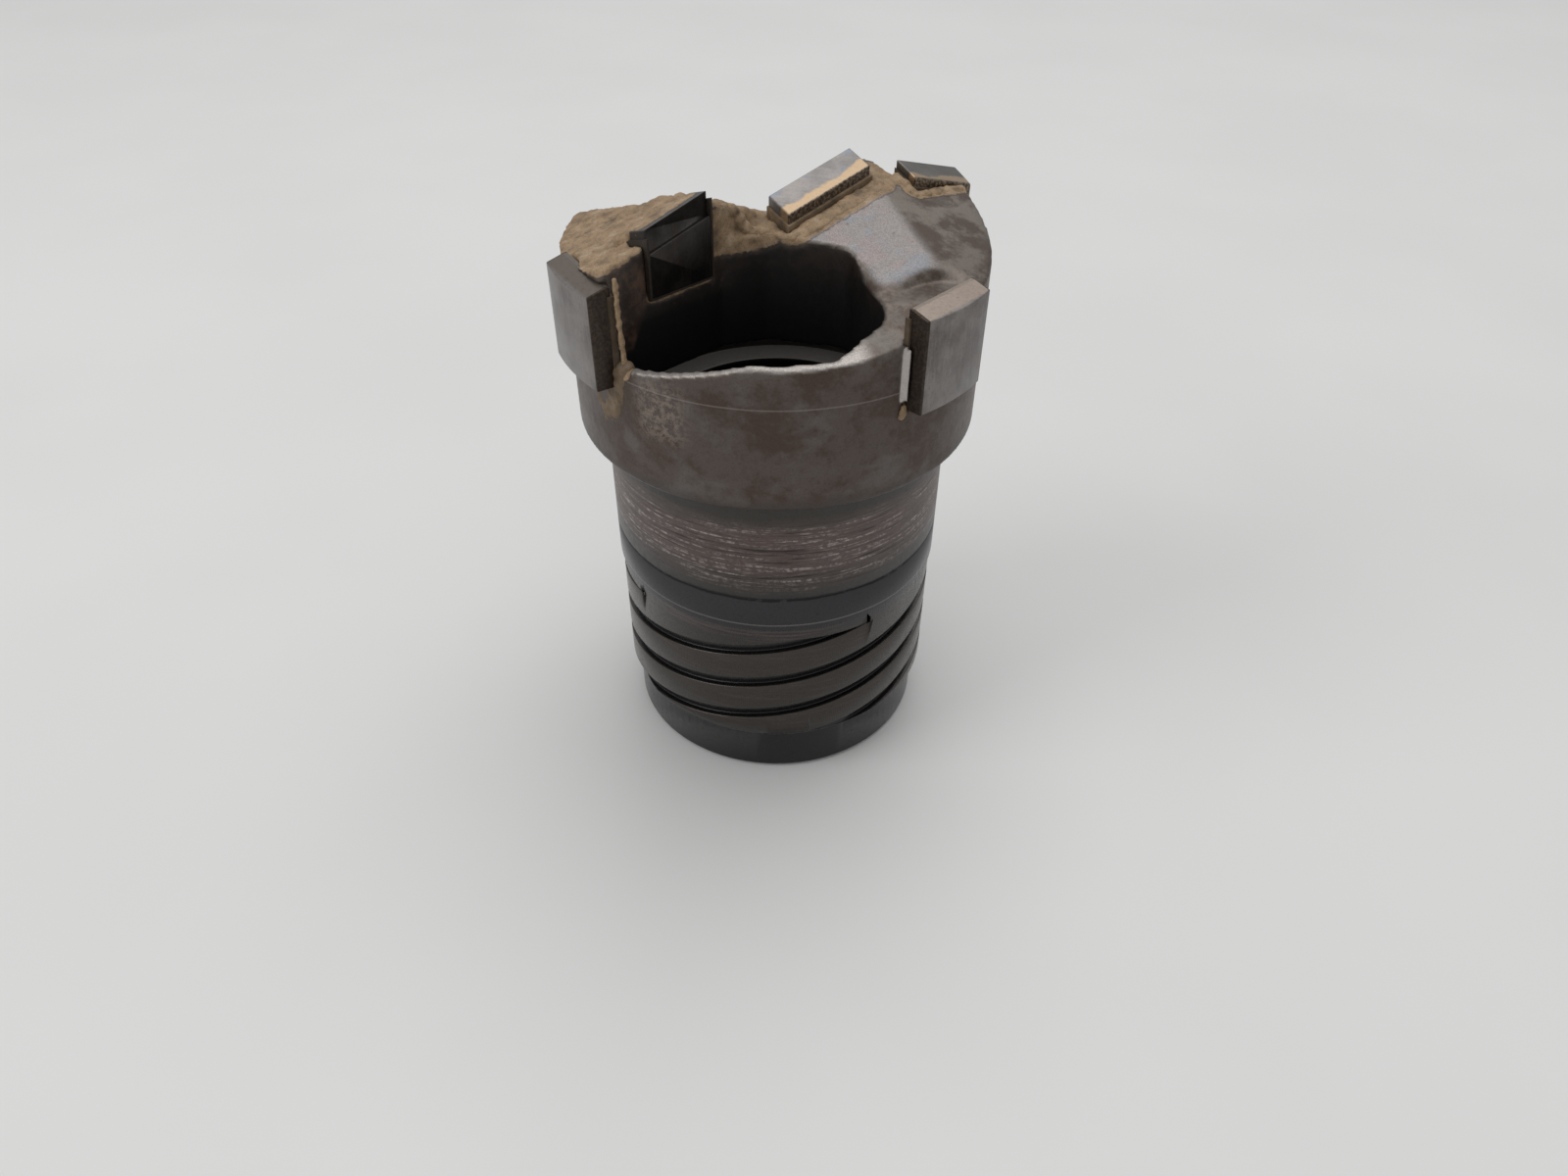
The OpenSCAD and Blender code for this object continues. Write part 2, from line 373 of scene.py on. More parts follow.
        # blasted facet with heat tints, and the ground rim
        sand = sh.noise(8.5, 2, 0.7)
        blue = sh.mix(sh.both(sh.step(sh.noise(0.22, 3), 0.50, 0.68), 0.75), self.blasted, (0.225, 0.250, 0.285))
        violet = sh.mix(sh.both(sh.step(sh.noise(0.3, 3, 0.5, sh.stretched((1, 1, 1), 40)), 0.54, 0.68), 0.8), blue,
                        (0.285, 0.235, 0.225))
        blasted = sh.mix(sh.step(sand, 0.54, 0.40), violet, (0.165, 0.148, 0.140))
        tone = sh.mix(sh.both(sh.painted("blasted"), sh.step(fine, 0.16, 0.42)), tone, blasted)
        rim = sh.mix(sh.step(grit, 0.60, 0.42), self.ground, (0.30, 0.275, 0.255))
        tone = sh.mix(sh.painted("ground"), tone, rim)
        land = sh.both(sh.band(sh.azimuth, -58.9, -55.2, 0.15), sh.step(sh.r, 30.02, 30.10), sh.band(sh.z, 71.9, 81.6, 0.2))
        tone = sh.mix(land, tone, (0.46, 0.425, 0.40))

        # burnt flux and braze stain
        edge = sh.math("ADD", sh.painted("braze"), sh.math("MULTIPLY", sh.math("SUBTRACT", fine, 0.5), 0.7))
        stained = sh.step(edge, 0.36, 0.56)
        gold = BrazeFinish().tone(sh, fine, grit)
        halo = sh.both(sh.band(edge, 0.22, 0.38, 0.08), 0.7)
        tone = sh.mix(halo, tone, self.head_brown)
        tone = sh.mix(stained, tone, gold)

        # grime over everything, then fine speckle
        grime = sh.both(sh.step(sh.noise(0.8, 6, 0.75), 0.60, 0.74), 0.45)
        tone = sh.mix(grime, tone, self.soot_and_shade)
        speckle = sh.ramp(sh.noise(3.2, 4, 0.8), [(0.30, (0.62, 0.62, 0.62)), (0.50, (1, 1, 1)), (0.72, (1.0, 1.0, 1.0))])
        tone = sh.mix(0.8, tone, speckle, "MULTIPLY")

        rough = sh.ramp(sh.math("DIVIDE", sh.z, 100), [(0.08, (0.24,) * 3), (0.34, (0.27,) * 3), (0.45, (0.46,) * 3),
                                                       (0.60, (0.42,) * 3), (0.85, (0.50,) * 3)])
        rough = sh.math("ADD", rough, sh.math("MULTIPLY", sh.math("SUBTRACT", fine, 0.5), 0.25))
        rough = sh.value_mix(stained, rough, 0.72)
        metal = sh.value_mix(stained, sh.value_mix(sh.math("MAXIMUM", inside, groove), 0.75, 0.1), 0.15)
        relief = sh.math("ADD", sh.math("MULTIPLY", fine, 0.5),
                         sh.math("ADD", sh.math("MULTIPLY", grit, 0.25), sh.math("MULTIPLY", streaks, 0.6)))
        relief = sh.both(relief, sh.value_mix(sh.step(sh.z, 36, 42), 0.25, 1.0))
        sh.bump(relief, 0.45, 0.12)
        return sh.finish(tone, metal, rough)


def height_line(sh: Shader, z: float, waver: float) -> bpy.types.NodeSocket:
    """The distance above or below a slightly wavering line round the body.

    Args:
        sh: The shader that it is for.
        z: Height of the line.
        waver: How far it wavers.

    Returns:
        The distance, in millimetres.
    """
    wander = sh.math("MULTIPLY", sh.math("SUBTRACT", sh.noise(0.12, 3), 0.5), 4 * waver)
    return sh.math("ABSOLUTE", sh.math("SUBTRACT", sh.math("ADD", sh.z, wander), z))


@dataclass(frozen=True)
class CarbideFinish:
    """Ground cemented carbide: fine grained, with faint grinding lines, heat tints and brown smears; beyond a span
    across it, flux crust on the tips and painted shade on the pads' side faces.
    """

    name: str
    bright: Colour
    dark: Colour
    tint: Colour
    azimuth: float
    plain_span: tuple[float, float] = (-100.0, 100.0)
    facet_z: float = 200.0
    facet: Colour = (0.32, 0.260, 0.215)
    smear: float = -100.0
    # colours beyond the plain span: the tips' are flux crust, the dark brown default is painted shade on the pads' side
    # faces
    crust: tuple[Colour, Colour] = ((0.028, 0.020, 0.015), (0.052, 0.036, 0.025))
    roughness: float = 0.34

    def dress(self) -> bpy.types.Material:
        """Makes the material."""
        sh = Shader(self.name)
        lines = sh.noise(1.0, 5, 0.75, sh.stretched((0.25, 4.5, 0.25), -self.azimuth))
        cloud = sh.noise(0.22, 4, 0.55)
        fine = sh.noise(2.4, 5, 0.7)
        tone = sh.mix(sh.step(cloud, 0.36, 0.64), self.dark, self.bright)
        tone = sh.mix(sh.both(sh.step(sh.noise(0.35, 2), 0.52, 0.68), 0.55), tone, self.tint)
        tone = sh.mix(sh.both(sh.step(lines, 0.46, 0.70), 0.30), tone, tuple(1.5 * c for c in self.bright))
        tone = sh.mix(sh.both(sh.step(sh.noise(0.9, 5, 0.8), 0.60, 0.74), 0.55), tone, (0.070, 0.052, 0.042))
        tone = sh.mix(sh.both(sh.step(sh.z, self.facet_z - 0.1, self.facet_z + 0.1), 0.85), tone, self.facet)
        # beyond the plain span: flux crust on the tips, painted shade on the pads' side faces
        across = sh.across(self.azimuth)
        crust_and_shade_mask = sh.math("MAXIMUM", sh.step(across, self.plain_span[0] + 0.1, self.plain_span[0]),
                          sh.step(across, self.plain_span[1] - 0.1, self.plain_span[1]))
        crust = sh.mix(sh.step(fine, 0.42, 0.62), *self.crust)
        tone = sh.mix(sh.both(crust_and_shade_mask, 0.95), tone, crust)
        wander = sh.math("ADD", across, sh.math("MULTIPLY", sh.math("SUBTRACT", cloud, 0.5), 3.5))
        film = sh.both(sh.step(wander, self.smear + 0.25, self.smear - 0.25), sh.step(across, self.plain_span[0], self.plain_span[0] + 0.1))
        tone = sh.mix(sh.both(film, 0.9), tone, (0.36, 0.255, 0.155))
        speckle = sh.ramp(fine, [(0.32, (0.68, 0.68, 0.68)), (0.52, (1, 1, 1))])
        tone = sh.mix(0.7, tone, speckle, "MULTIPLY")
        rough = sh.math("ADD", self.roughness, sh.math("MULTIPLY", sh.math("SUBTRACT", fine, 0.5), 0.3))
        sh.bump(sh.math("ADD", sh.math("MULTIPLY", lines, 0.5), fine), 0.18, 0.05)
        return sh.finish(tone, 0.8, rough)


@dataclass(frozen=True)
class BrazeFinish:
    """Rough silver-brass braze under a crust of burnt flux."""

    name: str = "burnt_braze"
    level: float = 0.62
    pitted: float = 0.75

    def tone(self, sh: Shader, fine: object, grit: object) -> bpy.types.NodeSocket:
        """The braze's colour, for its own pieces and for the film on the steel.

        Args:
            sh: The shader.
            fine: Noise about a millimetre across.
            grit: Noise about a sixth of a millimetre across.

        Returns:
            The colour output.
        """
        shades = ((0.30, (0.17, 0.115, 0.070)), (0.42, (0.36, 0.245, 0.140)), (0.56, (0.50, 0.340, 0.200)),
                  (0.70, (0.62, 0.490, 0.350)))
        base = sh.ramp(sh.noise(0.42, 5, 0.65), [(at, tuple(self.level * c for c in colour)) for at, colour in shades])
        crust = sh.mix(sh.both(sh.step(fine, 0.56, 0.72), 0.55), base, tuple(self.level * c for c in (0.30, 0.265, 0.215)))
        pits = sh.mix(sh.both(sh.step(grit, 0.42, 0.30), self.pitted), crust, (0.045, 0.030, 0.020))
        return sh.mix(sh.both(sh.step(sh.noise(0.7, 6, 0.8), 0.58, 0.70), self.pitted), pits, (0.040, 0.028, 0.020))

    def dress(self) -> bpy.types.Material:
        """Makes the material."""
        sh = Shader(self.name)
        fine = sh.noise(1.3, 5, 0.65)
        grit = sh.noise(6.0, 2, 0.7)
        tone = self.tone(sh, fine, grit)
        sh.bump(sh.math("ADD", sh.math("MULTIPLY", fine, 0.7), sh.math("MULTIPLY", grit, 0.4)), 0.7, 0.16)
        return sh.finish(tone, 0.15, sh.math("ADD", 0.50, sh.math("MULTIPLY", fine, 0.35)))


# ---------- meshes ----------


def new_piece(name: str, bm: bmesh.types.BMesh, material: bpy.types.Material, slot: Slot) -> bpy.types.Object:
    """Makes a piece from a bmesh, which it frees, and lets it ride on the body.

    Args:
        name: Name of the piece.
        bm: Its shape, in metres.
        material: Its finish.
        slot: The record's slot of that finish. Not used.

    Returns:
        The object, at the origin.
    """
    mesh = bpy.data.meshes.new(name)
    bm.to_mesh(mesh)
    bm.free()
    piece = bpy.data.objects.new(name, mesh)
    bpy.context.scene.collection.objects.link(piece)
    mesh.materials.append(material)
    mesh.shade_smooth()
    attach(piece, "root")
    log.info("%s: %d faces", name, len(mesh.polygons))
    return piece


def merged_copy(node: str) -> bmesh.types.BMesh:
    """A CAD node's shape with its loose triangles joined."""
    bm = bmesh.new()
    bm.from_mesh(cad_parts[node].data)
    bmesh.ops.remove_doubles(bm, verts=bm.verts, dist=0.002 * MM)
    return bm


def cut_level(bm: bmesh.types.BMesh, z: float, keep_above: bool) -> None:
    """Cuts a closed shape at a height and closes it there.

    Args:
        bm: The shape.
        z: Height of the cut, in metres.
        keep_above: Whether the part above stays.
    """
    cut = bmesh.ops.bisect_plane(bm, geom=[*bm.verts, *bm.edges, *bm.faces], plane_co=(0, 0, z), plane_no=(0, 0, 1),
                                 clear_inner=keep_above, clear_outer=not keep_above)
    rim = [e for e in cut["geom_cut"] if isinstance(e, bmesh.types.BMEdge)]
    filled = bmesh.ops.triangle_fill(bm, use_beauty=True, edges=rim, normal=(0, 0, -1 if keep_above else 1))
    bmesh.ops.recalc_face_normals(bm, faces=[f for f in filled["geom"] if isinstance(f, bmesh.types.BMFace)])


def remeshed(bm: bmesh.types.BMesh, voxel: float) -> bmesh.types.BMesh:
    """The same solid on an even grid of faces.

    Args:
        bm: A closed shape, which is freed.
        voxel: Size of a face, in metres.

    Returns:
        The new shape.
    """
    mesh = bpy.data.meshes.new("scratch")
    bm.to_mesh(mesh)
    bm.free()
    holder = bpy.data.objects.new("scratch", mesh)
    bpy.context.scene.collection.objects.link(holder)
    remesh = holder.modifiers.new("Remesh", "REMESH")
    remesh.mode = "VOXEL"
    remesh.voxel_size = voxel
    depsgraph = bpy.context.evaluated_depsgraph_get()
    result = bmesh.new()
    result.from_mesh(holder.evaluated_get(depsgraph).to_mesh())
    bpy.data.objects.remove(holder)
    bpy.data.meshes.remove(mesh)
    return result


def smooth(bm: bmesh.types.BMesh, verts: Sequence[bmesh.types.BMVert], rounds: int, factor: float = 0.5) -> None:
    """Smooths chosen vertices a number of times."""
    for _ in range(rounds):
        bmesh.ops.smooth_vert(bm, verts=verts, factor=factor, use_axis_x=True, use_axis_y=True, use_axis_z=True)


def falloff(distance: float, near: float, far: float) -> float:
    """1 up to near, 0 from far on, and smooth between."""
    x = min(1.0, max(0.0, (far - distance) / (far - near)))
    return x * x * (3 - 2 * x)


def to_segment(p: Vector, a: Vector, b: Vector) -> float:
    """Distance from a point to a segment."""
    along = b - a
    share = min(1.0, max(0.0, (p - a).dot(along) / along.length_squared))
    return (p - a - along * share).length


def turn_from(azimuth: float, middle: float) -> float:
    """Degrees from a middle azimuth, between -180 and 180."""
    return (azimuth - middle + 180) % 360 - 180


@dataclass(frozen=True)
class BrazeRun:
    """A line along which braze ran, with the width that it stained, in millimetres."""

    start: Vector
    end: Vector
    near: float
    far: float

    def share(self, p: Vector) -> float:
        """How far a point is covered, from 0 to 1."""
        return falloff(to_segment(p, self.start, self.end), self.near, self.far)


@dataclass
class SteelBody:
    """The machined body, shown as a turned shank and a dressed front."""

    layout: Layout = LAYOUT
    voxel: float = 0.42
    edge_rounds: int = 1
    rim_rounds: int = 5
    hollow_rounds: int = 45
    lump: float = 0.26

    def is_hollow(self, p: Vector) -> bool:
        """Whether a point is on the rounded step between the right flank and the flat round the right pad."""
        r = math.hypot(p.x, p.y)
        azimuth = math.degrees(math.atan2(p.y, p.x))
        return 15 < r < 29.3 and -70 < azimuth < -22 and 82.3 < p.z < 89 and not self.by_right_pad(p)

    def is_rim(self, p: Vector) -> bool:
        """Whether a point is on the ground rim of the first mouth."""
        height = min(82.1, 80 + 0.265 * p.x)
        return math.hypot(p.x, p.y) > 26.5 and p.y < -8 and -22.5 < p.x < 15 and abs(p.z - height) < 1.6

    def by_right_pad(self, p: Vector) -> bool:
        """Whether a point is in or beside the right pad's seat."""
        s = Matrix.Rotation(math.radians(-self.layout.right_pad_az), 3, "Z") @ p
        return s.x > self.layout.pad_back - 1 and abs(s.y) < self.layout.pad_half_w + 1

    def runs(self) -> list[BrazeRun]:
        """Where braze and flux cover the front."""
        at, lay = self.layout.at, self.layout
        return [
            BrazeRun(at(lay.centre_az, -1, -4.6, 87.0), at(lay.centre_az, 14.5, -4.9, 89.5), 2.0, 3.9),
            BrazeRun(at(lay.centre_az, 14.5, -3, 89.8), at(lay.outer_az, 20, -3, 88.8), 1.6, 3.6),
            BrazeRun(at(lay.outer_az, 20, -6.4, 87.5), at(lay.outer_az, 30, -6.4, 85.5), 1.2, 3.0),
            BrazeRun(at(lay.intermediate_az, 11, -1, 87), at(lay.centre_az, 1, -2.5, 86.8), 2.2, 4.4),
            BrazeRun(at(-133.0, 29.8, 0, 87), at(-132.5, 29.6, 0, 74), 0.3, 1.0),
            BrazeRun(at(-133.2, 29.0, 0, 75.6), at(-132.0, 29.4, 0, 74.4), 0.8, 1.8),
        ]

    def shank(self, steel: bpy.types.Material) -> bpy.types.Object:
        """Makes the shank: pilots, thread and bore, with their edges just broken."""
        bm = merged_copy("body")
        cut_level(bm, self.layout.split_z * MM, keep_above=False)
        piece = new_piece("body_shank", bm, steel, Slot.STEEL)
        piece.data.set_sharp_from_angle(angle=math.radians(28))
        bevel = piece.modifiers.new("Bevel", "BEVEL")
        bevel.width = 0.13 * MM
        bevel.segments = 2
        bevel.limit_method = "ANGLE"
        bevel.angle_limit = math.radians(40)
        bevel.use_clamp_overlap = False
        return piece

    def front(self, steel: bpy.types.Material) -> bpy.types.Object:
        """Makes the front: head, mouths, chamber and flanks, with softened edges, flux lumps and its masks."""
        bm = merged_copy("body")
        cut_level(bm, self.layout.split_z * MM, keep_above=True)
        bm = remeshed(bm, self.voxel * MM)
        lowest = (self.layout.split_z + 0.6) * MM
        upper = [v for v in bm.verts if v.co.z > lowest]
        smooth(bm, upper, self.edge_rounds)
        smooth(bm, [v for v in upper if self.is_hollow(v.co / MM)], self.hollow_rounds)
        smooth(bm, [v for v in upper if self.is_rim(v.co / MM)], self.rim_rounds)
        bm.normal_update()
        marks = self.masks(bm)
        melted = [v for v in upper if marks["braze"][v.index] > 0.35]
        smooth(bm, melted, 6)
        self.wrinkle(bm, marks["braze"])
        names = list(marks)
        values = [marks[n] for n in names]
        piece = new_piece("body_front", bm, steel, Slot.STEEL)
        for name, value in zip(names, values):
            layer = piece.data.attributes.new(name, "FLOAT", "POINT")
            layer.data.foreach_set("value", np.asarray(value, np.float32))
        return piece

    def masks(self, bm: bmesh.types.BMesh) -> dict[str, list[float]]:
        """How far each finish, and the painted shade inside, covers each vertex of the front.

        Args:
            bm: The front, with its normals up to date.

        Returns:
            For each finish, one value a vertex.
        """
        lay = self.layout
        runs = self.runs()
        turn_mouth = Matrix.Rotation(math.radians(-lay.intermediate_az), 3, "Z")
        ledge_s, ledge_z = (8.1, 10.4, 13.1, 16.6, 22.5, 26.0), (86.6, 84.5, 82.6, 81.5, 82.4, 76.0)
        marks: dict[str, list[float]] = {"braze": [], "blasted": [], "ground": [], "inside": [], "ledge": []}
        bm.verts.index_update()
        for v in bm.verts:
            p = v.co / MM
            r = math.hypot(p.x, p.y)
            azimuth = math.degrees(math.atan2(p.y, p.x))
            up = v.normal.z
            left = falloff(abs(turn_from(azimuth, 172)), 50, 62) * falloff(-up, -0.35, 0.1) * falloff(-p.z, -80, -78)
            braze = max([left, *(run.share(p) for run in runs)])
            # inside: painted shade on the chamber and mouth walls that don't face up, and on everything deep in the
            # chamber
            inside = falloff(r, 28.2, 28.9) * falloff(p.z, 88, 91) * falloff(up, 0.25, 0.55)
            deep = falloff(r, 28.2, 28.7) * falloff(p.z, 69.5, 72)
            inside = max(inside, deep)
            s = Matrix.Rotation(math.radians(-lay.centre_az), 3, "Z") @ p
            crease = 13.5 + (s.y + 7.6) * 0.31
            facet = falloff(s.x, crease - 1.2, crease + 1.2) * falloff(s.y, -5.5, -4.0)
            blasted = facet * falloff(-up, -0.85, -0.7) * falloff(abs(turn_from(azimuth, -40)), 75, 90)
            blasted *= falloff(-p.z, -83.3, -82.6)
            rim = falloff(-up, -0.75, -0.45) * falloff(-r, -24, -21) * falloff(abs(turn_from(azimuth, -100)), 42, 50)
            rim *= falloff(p.z, 82.4, 83.2) * falloff(abs(turn_from(azimuth, -108)), 38, 44)
            marks["braze"].append(braze * (1 - 0.85 * deep))
            marks["blasted"].append(blasted)
            marks["ground"].append(rim)
            marks["inside"].append(inside * (1 - braze))
            # ledge: where the painted shade inside turns rust brown, above the ledge of the intermediate mouth
            q = turn_mouth @ p
            above = falloff(float(np.interp(q.x, ledge_s, ledge_z)) - q.z, -0.3, 1.2)
            marks["ledge"].append(above * falloff(-q.x, -7, -3) * falloff(-q.y, 1, 2.5))
        return marks

    def wrinkle(self, bm: bmesh.types.BMesh, braze: Sequence[float]) -> None:
        """Raises lumps under the braze film, and leaves the rest a little uneven.

        Args:
            bm: The front.
            braze: The braze mask, one value a vertex.
        """
        for v in bm.verts:
            p = v.co / MM
            amount = braze[v.index]
            lumps = noise.fractal(p * 0.34, 0.8, 2.1, 4) * self.lump * amount
            grain = noise.noise(p * 1.5) * (0.12 * amount + 0.012)
            v.co += v.normal * (lumps + grain) * MM * falloff(-v.co.z / MM, -62, -59)


@dataclass
class Overflow:
    """Braze that stands on the front as lumps: built from overlapping balls, joined and softened."""

    name: str
    balls: list[tuple[Vector, float]] = field(default_factory=list)
    voxel: float = 0.22
    rounds: int = 5
    lump: float = 0.22

    def add(self, centre: Vector, radius: float) -> None:
        """Adds a ball, in millimetres."""
        self.balls.append((centre, radius))

    def run(self, path: Sequence[Vector], radius: float, draw: random.Random, jitter: float = 0.25) -> None:
        """Adds balls along a path.

        Args:
            path: Points of the path.
            radius: Mean radius of a ball.
            draw: Source of random numbers.
            jitter: Share by which places and radii vary.
        """
        for a, b in zip(path, path[1:]):
            count = max(1, round((b - a).length / (0.55 * radius)))
            for i in range(count + 1):
                off = Vector([draw.uniform(-1, 1) for _ in range(3)]) * radius * jitter
                self.add(a.lerp(b, i / count) + off, radius * draw.uniform(1 - jitter, 1 + jitter))

    def build(self, braze: bpy.types.Material) -> bpy.types.Object:
        """Makes the piece."""
        bm = bmesh.new()
        for centre, radius in self.balls:
            bmesh.ops.create_icosphere(bm, subdivisions=2, radius=radius * MM, matrix=Matrix.Translation(centre * MM))
        bm = remeshed(bm, self.voxel * MM)
        smooth(bm, bm.verts[:], self.rounds)
        bm.normal_update()
        for v in bm.verts:
            p = v.co / MM
            v.co += v.normal * noise.fractal(p * 0.8, 0.7, 2.1, 3) * self.lump * MM
        return new_piece(self.name, bm, braze, Slot.BRAZE)


@dataclass
class Surface:
    """Finds the top of the front piece under a place."""

    tree: BVHTree

    @classmethod
    def of(cls, piece: bpy.types.Object) -> Surface:
        """The surface of a piece."""
        bm = bmesh.new()
        bm.from_mesh(piece.data)
        tree = BVHTree.FromBMesh(bm)
        bm.free()
        return cls(tree)

    def top(self, azimuth: float, s: float, t: float, sink: float) -> Vector:
        """A point under the surface at a place of a line's frame.

        Args:
            azimuth: Direction of the line.
            s: Distance along it.
            t: Distance across it.
            sink: How far under the surface.

        Returns:
            The point, in millimetres.
        """
        above = LAYOUT.at(azimuth, s, t, 120)
        hit = self.tree.ray_cast(above * MM, Vector((0, 0, -1)))[0]
        z = hit.z / MM if hit is not None else 80
        return Vector((above.x, above.y, z - sink))


@dataclass
class BrazeWork:
    """All the braze overflow of the front."""

    layout: Layout
    surface: Surface
    seed: int = 7

    def pieces(self) -> list[Overflow]:
        """The overflow pieces, each with its own random numbers."""
        makers: Sequence[Callable[[random.Random], Overflow]] = (
            self.intermediate_cap, self.web, self.centre_fillet, self.outer_fillet, self.pad_rib, self.pad_drip,
            self.right_bead)
        return [make(random.Random(self.seed + i)) for i, make in enumerate(makers)]

    def intermediate_cap(self, draw: random.Random) -> Overflow:
        """The crust that covers the intermediate tip's top and falls to the flank behind it."""
        flow = Overflow("braze_cap_intermediate", lump=0.16)
        az = self.layout.intermediate_az
        for s in np.arange(12.9, 22.2, 0.6):
            for t in np.arange(-4.2, -1.4, 0.5):
                top = 96.2 - 0.24 * s + 0.36 * (t - 0.5)
                radius = draw.uniform(0.6, 0.8)
                flow.add(self.layout.at(az, s, t, top - radius + draw.uniform(0.06, 0.26)), radius)
        back = [self.surface.top(az, s, -5.0, 0.3) for s in (12.5, 16, 19.5, 22.5)]
        flow.run(back, 1.25, draw)
        return flow

    def web(self, draw: random.Random) -> Overflow:
        """The ridge from the intermediate tip to the centre tip."""
        flow = Overflow("braze_web", lump=0.12)
        inter, centre = self.layout.intermediate_az, self.layout.centre_az
        path = [self.surface.top(inter, s, t, 0.6) for s, t in ((11.4, -1.6), (9.6, -1.4), (7.6, -0.6), (5.6, 0.4), (4.2, 1.6))]
        flow.run(path, 0.85, draw)
        path = [self.surface.top(centre, s, t, 0.5) for s, t in ((-4.2, -1.6), (-3.2, -3.4), (-1.6, -5.6))]
        flow.run(path, 0.6, draw)
        return flow

    def centre_fillet(self, draw: random.Random) -> Overflow:
        """The bead behind the centre tip."""
        flow = Overflow("braze_fillet_centre", lump=0.10)
        az = self.layout.centre_az
        flow.run([self.surface.top(az, s, -5.1, 0.45) for s in (-1.4, 2, 5, 8, 11, 14.4)], 0.85, draw, 0.15)
        flow.run([self.surface.top(az, s, -6.1, 0.65) for s in (-0.5, 3, 7, 11, 14.0)], 0.85, draw, 0.15)
        flow.run([self.surface.top(az, 15.0, t, 0.55) for t in (-5, -3, -1)], 0.85, draw)
        return flow

    def outer_fillet(self, draw: random.Random) -> Overflow:
        """The bead behind the outer tip."""
        flow = Overflow("braze_fillet_outer", lump=0.10)
        az = self.layout.outer_az
        flow.run([self.surface.top(az, s, -7.2, 0.6) for s in (19.8, 23, 26, 28.8)], 0.85, draw, 0.3)
        flow.run([self.surface.top(az, 19.3, t, 0.5) for t in (-7, -5, -3)], 0.85, draw)
        return flow

    def pad_rib(self, draw: random.Random) -> Overflow:
        """The rib in the corner between the left pad and the mouth."""
        flow = Overflow("braze_rib_left_pad", voxel=0.14, lump=0.08)
        path = [self.layout.at(az, r, 0, z) for az, r, z in ((-133.6, 29.2, 86.5), (-133.2, 29.3, 82), (-133.0, 29.2, 78),
                                                             (-132.6, 29.2, 75.0))]
        flow.run(path, 0.38, draw, 0.2)
        return flow

    def pad_drip(self, draw: random.Random) -> Overflow:
        """The drip that ran down below the left pad."""
        flow = Overflow("braze_drip_left_pad", lump=0.12)
        for az, z, radius in ((-132.6, 74.3, 1.3), (-133.2, 72.8, 1.6), (-133.8, 71.3, 1.8), (-134.6, 69.8, 1.9),
                              (-135.6, 68.4, 1.8), (-136.4, 67.3, 1.5)):
            flow.add(self.layout.at(az, self.layout.head_r - radius + 0.35, 0, z), radius)
            flow.add(self.layout.at(az - 2.4, self.layout.head_r - radius + 0.32, 0, z - 0.5), radius)
            flow.add(self.layout.at(az - 4.8, self.layout.head_r - radius + 0.22, 0, z - 1.4), radius)
        for az, z in ((-139, 66.6), (-141.5, 66.9), (-143.5, 67.8), (-145, 69.2)):
            flow.add(self.layout.at(az, self.layout.head_r - 1.5 + 0.3, 0, z), 1.5)
        return flow

    def right_bead(self, draw: random.Random) -> Overflow:
        """The bead at the foot of the right pad."""
        flow = Overflow("braze_bead_right_pad", voxel=0.16, lump=0.10)
        for az, z, radius in ((-56.9, 70.2, 0.62), (-56.6, 71.0, 0.45), (-57.4, 69.6, 0.5)):
            flow.add(self.layout.at(az, self.layout.head_r + 0.05, 0, z), radius)
        return flow


def dress_carbide() -> None:
    """Gives the tips and pads their finishes and just-broken edges."""
    # painted shade: beyond 6.1 mm across, the pads' side faces take the dark brown default crust colours
    pad = dict(bright=(0.215, 0.200, 0.192), dark=(0.140, 0.128, 0.122), tint=(0.185, 0.155, 0.140),
               plain_span=(-6.1, 6.1))
    finishes = {
        "centre_tip": CarbideFinish("carbide_centre", (0.20, 0.185, 0.175), (0.135, 0.128, 0.125), (0.13, 0.165, 0.21), 43,
                                    plain_span=(-3.95, 50), smear=-2.9, crust=((0.060, 0.045, 0.034), (0.230, 0.180, 0.130))),
        # painted shade: the intermediate tip's tones are near black for the shade on its rake face
        "intermediate_tip": CarbideFinish("carbide_intermediate_painted_shade", (0.045, 0.040, 0.037), (0.022, 0.020, 0.019),
                                          (0.035, 0.026, 0.020), -137),
        "outer_tip": CarbideFinish("carbide_outer", (0.135, 0.125, 0.112), (0.085, 0.078, 0.070), (0.12, 0.10, 0.075), 38,
                                   plain_span=(-5.9, 50), smear=-5.0, crust=((0.060, 0.045, 0.034), (0.250, 0.190, 0.130))),
        "left_guide_pad": CarbideFinish("carbide_left_pad", azimuth=-147.5, facet_z=84.75, facet=(0.16, 0.13, 0.105),
                                        **pad),
        "right_guide_pad": CarbideFinish("carbide_right_pad", azimuth=-44, facet_z=83.85, **pad),
    }
    for node, finish in finishes.items():
        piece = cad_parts[node]
        piece.data.materials.clear()
        piece.data.materials.append(finish.dress())
        weld = piece.modifiers.new("Weld", "WELD")
        weld.merge_threshold = 0.002 * MM
        bevel = piece.modifiers.new("Bevel", "BEVEL")
        bevel.width = 0.18 * MM
        bevel.segments = 2
        bevel.limit_method = "ANGLE"
        bevel.angle_limit = math.radians(25)
        log.info("%s dressed", node)


def dress_braze(special: dict[str, bpy.types.Material], usual: bpy.types.Material) -> None:
    """Gives the braze beds their finish.

    Args:
        special: Materials of the beds that differ.
        usual: Material of the rest.
    """
    for name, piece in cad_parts.items():
        if name.endswith("_braze"):
            piece.data.materials.clear()
            piece.data.materials.append(special.get(name, usual))


# ---------- set ----------


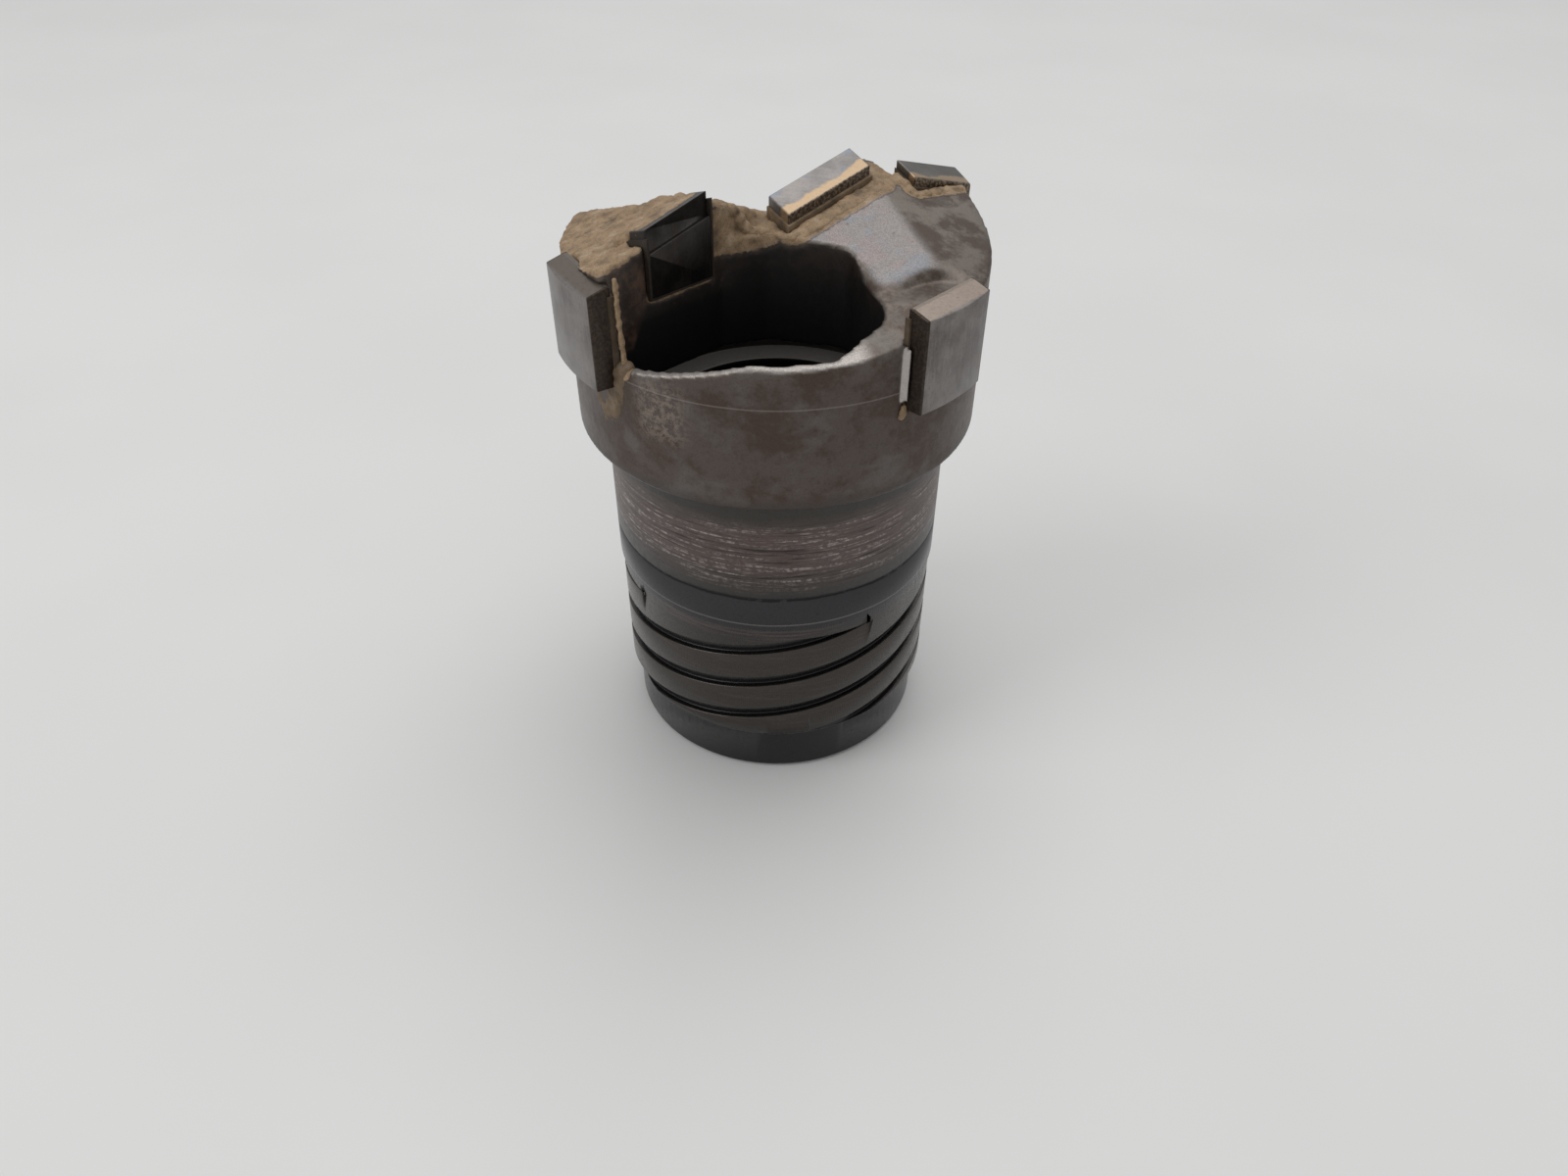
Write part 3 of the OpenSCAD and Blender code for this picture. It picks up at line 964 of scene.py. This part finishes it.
@dataclass(frozen=True)
class Studio:
    """Camera, floor and light."""

    camera_at: Point = (0.0, -0.15255, 0.14725)
    down: float = 40.02
    yaw: float = 0.51
    roll: float = 0.449
    lens: float = 25.875
    floor: Colour = (0.66, 0.66, 0.655)
    world: float = 0.60

    def camera(self) -> None:
        """Makes the scene's camera."""
        data = bpy.data.cameras.new("camera")
        data.lens = self.lens
        data.sensor_width = 36
        data.sensor_fit = "HORIZONTAL"
        data.clip_start = 0.005
        camera = bpy.data.objects.new("camera", data)
        bpy.context.scene.collection.objects.link(camera)
        turn = (Matrix.Rotation(math.radians(-self.yaw), 4, "Z") @ Matrix.Rotation(math.radians(90 - self.down), 4, "X")
                @ Matrix.Rotation(math.radians(self.roll), 4, "Z"))
        camera.matrix_world = Matrix.Translation(self.camera_at) @ turn
        bpy.context.scene.camera = camera

    def ground(self) -> None:
        """Makes the pale floor."""
        bm = bmesh.new()
        bmesh.ops.create_grid(bm, x_segments=4, y_segments=4, size=3)
        mesh = bpy.data.meshes.new("floor")
        bm.to_mesh(mesh)
        bm.free()
        floor = bpy.data.objects.new("floor", mesh)
        bpy.context.scene.collection.objects.link(floor)
        sh = Shader("floor_paint")
        cloud = sh.noise(0.012, 3, 0.5)
        tone = sh.mix(sh.step(cloud, 0.3, 0.7), tuple(0.97 * c for c in self.floor), self.floor)
        mesh.materials.append(sh.finish(tone, 0.0, 0.55))

    def light(self) -> None:
        """Lights the set: an even sky, a broad lamp above and a soft one from the left."""
        scene = bpy.context.scene
        scene.view_settings.view_transform = "Standard"
        world = bpy.data.worlds.new("sky")
        scene.world = world
        world.use_nodes = True
        back = world.node_tree.nodes["Background"]
        back.inputs["Color"].default_value = (1, 1, 1, 1)
        back.inputs["Strength"].default_value = self.world
        self.lamp("top_lamp", (0.15, 0.35, 1.1), 0.9, 5.0)
        self.lamp("left_lamp", (-0.8, -0.3, 0.6), 0.5, 2.8)

    @staticmethod
    def lamp(name: str, place: Point, size: float, power: float) -> None:
        """Adds a square lamp that faces the head.

        Args:
            name: Its name.
            place: Its middle, in metres.
            size: Its side, in metres.
            power: Its power, in watts.
        """
        data = bpy.data.lights.new(name, "AREA")
        data.size = size
        data.energy = power
        lamp = bpy.data.objects.new(name, data)
        lamp.location = place
        aim = Vector((0, 0, 0.06)) - Vector(place)
        lamp.rotation_euler = aim.to_track_quat("-Z", "Y").to_euler()
        bpy.context.scene.collection.objects.link(lamp)


def main() -> None:
    """Builds everything in order."""
    logging.basicConfig(level=logging.INFO, format="%(name)s: %(message)s")
    studio = Studio()
    studio.camera()
    studio.ground()
    studio.light()
    steel = SteelFinish().dress()
    braze = BrazeFinish().dress()
    body = SteelBody()
    shank = body.shank(steel)
    front = body.front(steel)
    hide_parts("body")
    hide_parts("body")
    run_off = BrazeFinish("braze_run_off", 0.30, 0.2).dress()
    for flow in BrazeWork(LAYOUT, Surface.of(front)).pieces():
        flow.build(run_off if "drip" in flow.name else braze)
    dress_carbide()
    # painted shade: the intermediate tip's braze bed is a dark copy of the bed finish, for the shade it sits in
    dress_braze({"intermediate_tip_braze": BrazeFinish("braze_bed_painted_shade", 0.05, 0.5).dress(),
                 "centre_tip_braze": BrazeFinish("braze_bed_bright", 0.40, 0.6).dress()},
                BrazeFinish("braze_bed", 0.16, 0.5).dress())


if __name__ == "__main__":
    main()
